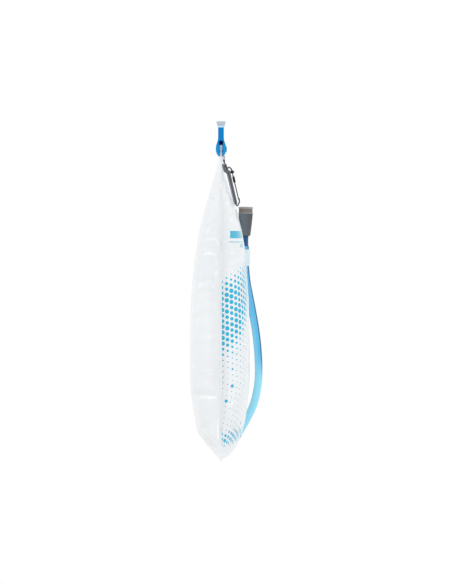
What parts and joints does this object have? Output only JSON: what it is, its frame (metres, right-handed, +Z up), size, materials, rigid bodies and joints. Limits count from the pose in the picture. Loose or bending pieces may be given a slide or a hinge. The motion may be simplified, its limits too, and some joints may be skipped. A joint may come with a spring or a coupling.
{
  "type": "hydration bladder",
  "caption": "Welded clear film water reservoir for a backpack, with a slide-lock top, a drink tube with a bite valve, and a small hanging clip.",
  "frame": {"origin": "centre of the hang hole through the slider's neck, on the plane of the pouch's seam", "axes": "+Z up, towards the slider; X along the slider, which pulls off towards +X; -Y towards the printed front panel"},
  "size_m": [0.198, 0.0895, 0.4062],
  "materials": {
    "film": "translucent glossy film",
    "clear_moulding": "translucent flexible moulding",
    "slider_blue": "semi-gloss moulded",
    "slider_strip": "satin, ribbed",
    "tube_blue": "translucent glossy",
    "fitting_blue": "semi-gloss moulded",
    "seal": "matte",
    "valve_grey": "satin",
    "bite_silicone": "matte",
    "cord": "braided",
    "steel": "bright wire",
    "clip_slate": "satin",
    "grip_sleeve": "matte"
  },
  "bodies": {
    "reservoir": {"front_panel": "film", "back_panel": "film", "front_lip": "clear_moulding", "back_lip": "clear_moulding", "cord_anchor": "clear_moulding", "tube_loop": "clear_moulding", "port_flange": "clear_moulding", "port_o_ring": "seal", "port_elbow": "fitting_blue", "drink_tube": "tube_blue", "valve_stem": "fitting_blue", "stem_o_ring": "seal"},
    "slider": {"slider_body": "slider_blue", "slider_grip": "slider_strip", "slider_end_cap": "slider_blue"},
    "clip": {"hang_cord": "cord", "cord_ferrule": "steel", "clip_frame": "steel", "clip_spine": "clip_slate", "gate_pin": "steel"},
    "gate": {"clip_gate": "steel", "gate_sleeve": "grip_sleeve"},
    "bite_valve": {"bite_sleeve": "valve_grey", "mouthpiece": "bite_silicone"}
  },
  "joints": [
    {"name": "closure_slide", "type": "slide", "parent": "reservoir", "child": "slider", "axis": [1, 0, 0], "range_m": [0, 0.195]},
    {"name": "clip_swing", "type": "hinge", "parent": "reservoir", "child": "clip", "pos_m": [-0.064, -0.0034, -0.0286], "axis": [-1, 0, 0], "range_deg": [0, 110]},
    {"name": "gate_hinge", "type": "hinge", "parent": "clip", "child": "gate", "pos_m": [-0.04765, -0.0135, -0.04627], "axis": [0.4067, 0.8894, -0.2086], "range_deg": [0, 12.5], "stiffness_Nm_per_rad": 0.02, "springref_deg": -5.73},
    {"name": "valve_twist", "type": "hinge", "parent": "reservoir", "child": "bite_valve", "pos_m": [0.062, -0.0289, -0.1344], "axis": [0, -0.019, 0.9998], "range_deg": [0, 90]}
  ]
}
